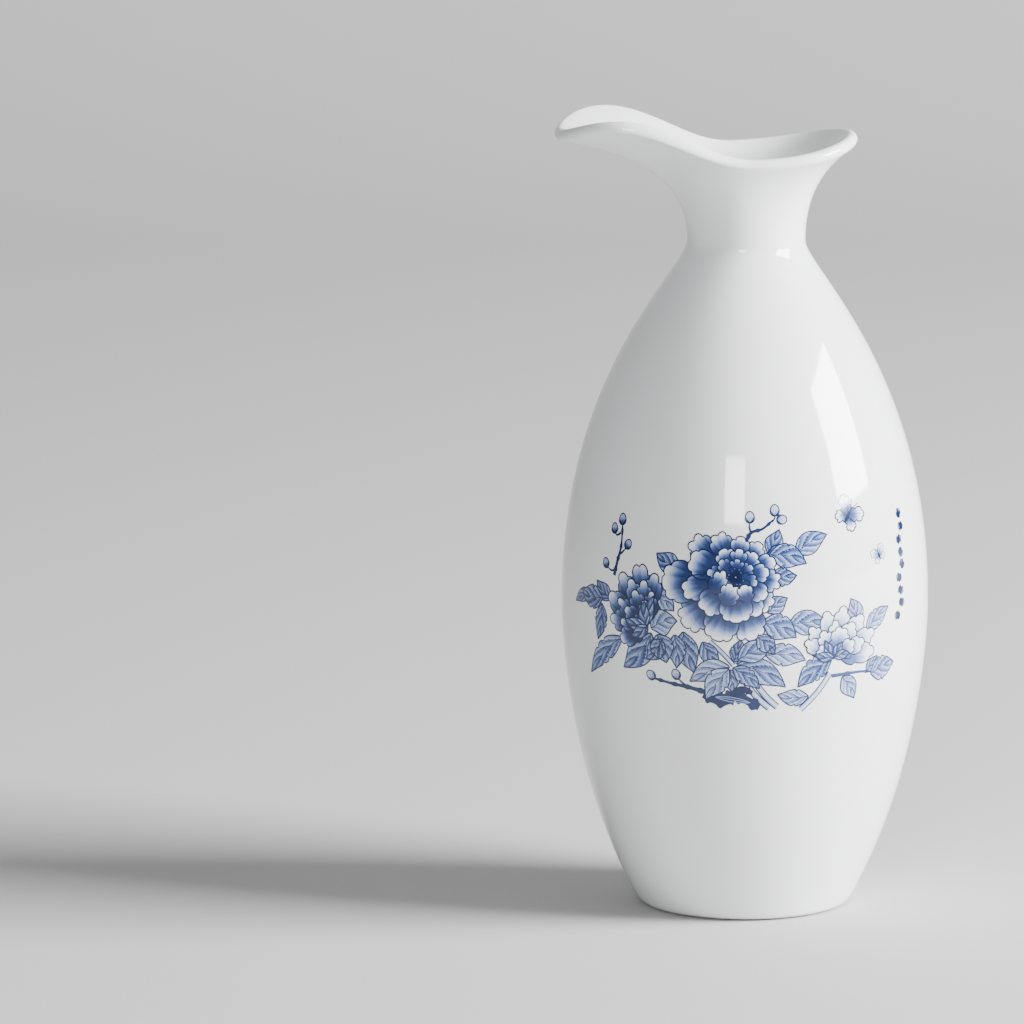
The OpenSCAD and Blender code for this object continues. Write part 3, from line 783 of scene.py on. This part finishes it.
# Each sprig has its twigs as path, width and knots, and its buds as place, radius and pointing angle
LEFT_TWIGS = [
    ([(-25.9, 0.2), (-25.2, 3.4), (-24.4, 7.0), (-24.6, 11.4)], 0.9, 4),
    ([(-24.9, 9.6), (-26.0, 9.0), (-26.8, 9.6)], 0.6, 0),
    ([(-24.6, 5.0), (-23.6, 5.8), (-22.9, 6.6)], 0.6, 0),
    ([(-25.6, 1.4), (-27.0, 1.2), (-28.2, 1.8)], 0.6, 0),
]
LEFT_BUDS = [
    ((-27.0, 10.4), 1.05, 100), ((-22.4, 7.4), 1.05, 62), ((-28.8, 2.6), 1.05, 115),
    ((-24.8, 12.6), 1.15, 95),
]
TOP_TWIGS = [
    ([(6.2, 9.6), (7.4, 11.6), (10.0, 12.4), (12.4, 14.2)], 0.9, 3),
    ([(7.3, 11.8), (7.0, 12.8), (7.1, 13.8)], 0.55, 0),
    ([(12.2, 13.8), (12.8, 14.6), (12.9, 15.2)], 0.5, 0),
]
TOP_BUDS = [((7.1, 14.9), 1.15, 92), ((12.9, 16.3), 1.15, 90), ((14.5, 14.3), 1.1, 0)]
LOW_TWIGS = [
    ([(-2.0, -23.8), (-6.0, -22.8), (-10.0, -22.2), (-14.6, -21.4)], 1.1, 4),
    ([(-7.0, -22.5), (-8.2, -21.6), (-8.9, -20.9)], 0.6, 0),
]
LOW_BUDS = [((-15.6, -20.7), 1.1, 145), ((-9.4, -20.0), 1.1, 115)]


def sprig(name, node, material, twigs, buds, ink):
    """A sprig of twigs with round buds."""
    art = Print()
    for path, width, knots in twigs:
        twig(art, path, width, level=0, knots=knots)
    for at, r, pointing in buds:
        bud(art, at, r, pointing, level=1, ink=ink)
    return art.make(name, node, material)


# Hind and fore wings: degrees from the head, and length and width in shares of the span, and level
WINGS = ((128, 0.44, 0.34, 0.4), (52, 0.56, 0.40, 1.4))


def butterfly(name, node, material, at, span, tilt, tone, line):
    """A butterfly from above: two pairs of scalloped wings, a slim body and two feelers."""
    art = Print()
    at = np.asarray(at, float)
    head = direction(90 + tilt)
    for sign in (-1, 1):
        for turn, size, wide, level in WINGS:
            out = direction(90 + tilt - sign * turn)
            petal(art, at, at + span * size * out, span * wide, 3, level,
                  dark=tone, start=0.15, end=0.85, line=line, notch=0.05 * span)
            vein, _ = bowed(at, at + 0.8 * span * size * out, 0.08 * sign, np.linspace(0, 1, 7))
            art.line(vein, np.linspace(line, 0.04, 7), 2, 0.8)
        feeler_tip = at + span * 0.48 * direction(90 + tilt - sign * 16)
        feeler, _ = bowed(at, feeler_tip, 0.15 * sign, np.linspace(0, 1, 9))
        art.line(feeler, line * 0.6, 1, 0.7)
    body, _ = bowed(at - span * 0.24 * head, at + span * 0.16 * head, 0, np.linspace(0, 1, 9))
    art.line(body, span * 0.11 * np.sin(np.pi * np.linspace(0.12, 0.95, 9)), 3, 1.0)
    return art.make(name, node, material)


def petal_drift(material):
    """Loose petals that drift down in a column, and turn as they fall."""
    art = Print()
    for k in range(9):
        at = np.array([48.4 - 0.3 * k + 0.7 * math.sin(2.1 * k), 12.6 - 2.75 * k])
        out = direction(60 + 130 * math.sin(1.7 * k))
        petal(art, at - 1.1 * out, at + 1.2 * out, 1.9, 3, 0,
              dark=1.0, start=0.6, end=1.1, line=0.2, notch=0.35)
    return art.make("petal_drift", "petal_drift_print", material)


# ---- Put the bottle together ----

glaze = make_glaze()
biscuit = make_biscuit()
cobalt = make_ink("cobalt_ink")
pale_cobalt = make_ink("pale_cobalt_ink")

shell = glaze_skin(glaze)
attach(shell, "root")
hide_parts("glaze_coat")


def paint(node, material):
    """Gives a CAD node its material in every slot."""
    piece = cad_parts[node]
    if not piece.data.materials:
        piece.data.materials.append(material)
    for slot in piece.material_slots:
        slot.material = material


paint("porcelain_body", biscuit)
paint("base_glaze", glaze)

# Petals draw random numbers, so the order of these calls matters
stems(cobalt)
leaves(cobalt)
left_peony(cobalt)
right_peony(pale_cobalt)
main_peony(cobalt)
sprig("left_buds", "left_bud_print", cobalt, LEFT_TWIGS, LEFT_BUDS, ink=0.7)
sprig("top_buds", "top_bud_print", cobalt, TOP_TWIGS, TOP_BUDS, ink=0.25)
sprig("low_buds", "low_bud_print", cobalt, LOW_TWIGS, LOW_BUDS, ink=0.3)
butterfly("large_butterfly", "large_butterfly_print", cobalt,
          at=(31.3, 14.2), span=8.2, tilt=-38, tone=0.72, line=0.32)
butterfly("small_butterfly", "small_butterfly_print", cobalt,
          at=(39.4, 4.8), span=4.8, tilt=25, tone=0.4, line=0.15)
petal_drift(cobalt)

# ---- Stage, light and camera ----

# The camera looks down a little, and the bottle's spout points left and slightly towards it
VIEW_TURN = math.radians(-8.6)
VIEW_DOWN = math.radians(10)
VIEW_FAR = 2.1
LENS = 332.2
SENSOR = 36.0
CLIP_END = 50
# Where the foot stands in the picture, in shares of its width from its middle
FOOT_RIGHT, FOOT_DOWN = 0.2259, 0.3779

# Floor and backdrop, in metres from the bottle
STAGE_HALF, STAGE_FRONT, STAGE_BACK, STAGE_TOP, STAGE_BEND = 3.0, -3.5, 1.6, 3.0, 0.6
BEND_STEPS = 16
FLOOR_COLOUR = (0.50, 0.50, 0.50, 1)
WORLD_STRENGTH = 0.10


def turn_z(x, y, z):
    """A point given as the camera sees it: x to the right, y away from it, z up."""
    c, s = math.cos(VIEW_TURN), math.sin(VIEW_TURN)
    return Vector((x * c - y * s, x * s + y * c, z))


def add_camera():
    camera = bpy.data.objects.new("camera", bpy.data.cameras.new("camera"))
    camera.data.lens = LENS
    camera.data.sensor_width = SENSOR
    camera.data.clip_end = CLIP_END
    ahead = Vector((0, math.cos(VIEW_DOWN), -math.sin(VIEW_DOWN)))
    above = Vector((0, math.sin(VIEW_DOWN), math.cos(VIEW_DOWN)))
    share = SENSOR / LENS
    foot = ahead + Vector((1, 0, 0)) * FOOT_RIGHT * share - above * FOOT_DOWN * share
    camera.location = turn_z(*(-VIEW_FAR * foot))
    camera.rotation_euler = (math.pi / 2 - VIEW_DOWN, 0, VIEW_TURN)
    bpy.context.scene.collection.objects.link(camera)
    bpy.context.scene.camera = camera


def add_softbox(name, at, target, width, height, power):
    """A white area light at one point that faces another, both given as the camera sees them."""
    light = bpy.data.lights.new(name, "AREA")
    light.shape = "RECTANGLE"
    light.size, light.size_y = width, height
    light.energy = power
    lamp = bpy.data.objects.new(name, light)
    lamp.location = turn_z(*at)
    lamp.rotation_euler = (turn_z(*target) - lamp.location).to_track_quat("-Z", "Y").to_euler()
    bpy.context.scene.collection.objects.link(lamp)


def add_stage():
    """A pale floor that sweeps up into a backdrop."""
    flat_end, bend = STAGE_BACK - STAGE_BEND, STAGE_BEND
    rows = [(STAGE_FRONT, 0.0), (0.0, 0.0), (flat_end, 0.0)]
    rows += [(flat_end + bend * math.sin(q), bend - bend * math.cos(q))
             for q in np.linspace(0, math.pi / 2, BEND_STEPS + 1)[1:]]
    rows.append((STAGE_BACK, STAGE_TOP))
    points = [turn_z(x, y, z) for y, z in rows for x in (-STAGE_HALF, STAGE_HALF)]
    faces = [[2 * i, 2 * i + 1, 2 * i + 3, 2 * i + 2] for i in range(len(rows) - 1)]
    material, _, shader = principled("pale_floor", Roughness=0.75)
    shader.inputs["Base Color"].default_value = FLOOR_COLOUR
    mesh = bpy.data.meshes.new("floor")
    mesh.from_pydata(points, [], faces)
    mesh.polygons.foreach_set("use_smooth", np.ones(len(mesh.polygons), bool))
    mesh.materials.append(material)
    floor = bpy.data.objects.new("floor", mesh)
    bpy.context.scene.collection.objects.link(floor)


def add_world():
    world = bpy.data.worlds.new("studio")
    world.use_nodes = True
    background = world.node_tree.nodes["Background"]
    background.inputs["Color"].default_value = (1, 1, 1, 1)
    background.inputs["Strength"].default_value = WORLD_STRENGTH
    bpy.context.scene.world = world


add_camera()
add_stage()
add_softbox("key", (1.45, -0.33, 0.70), (0, 0, 0.09), width=0.80, height=0.74, power=150)
add_softbox("front_strip", (-0.22, -1.5, 0.58), (0, 0, 0.10), width=0.36, height=0.42, power=13)
add_softbox("overhead", (0.3, -0.2, 1.9), (0, 0, 0.05), width=1.2, height=1.2, power=4)
add_world()
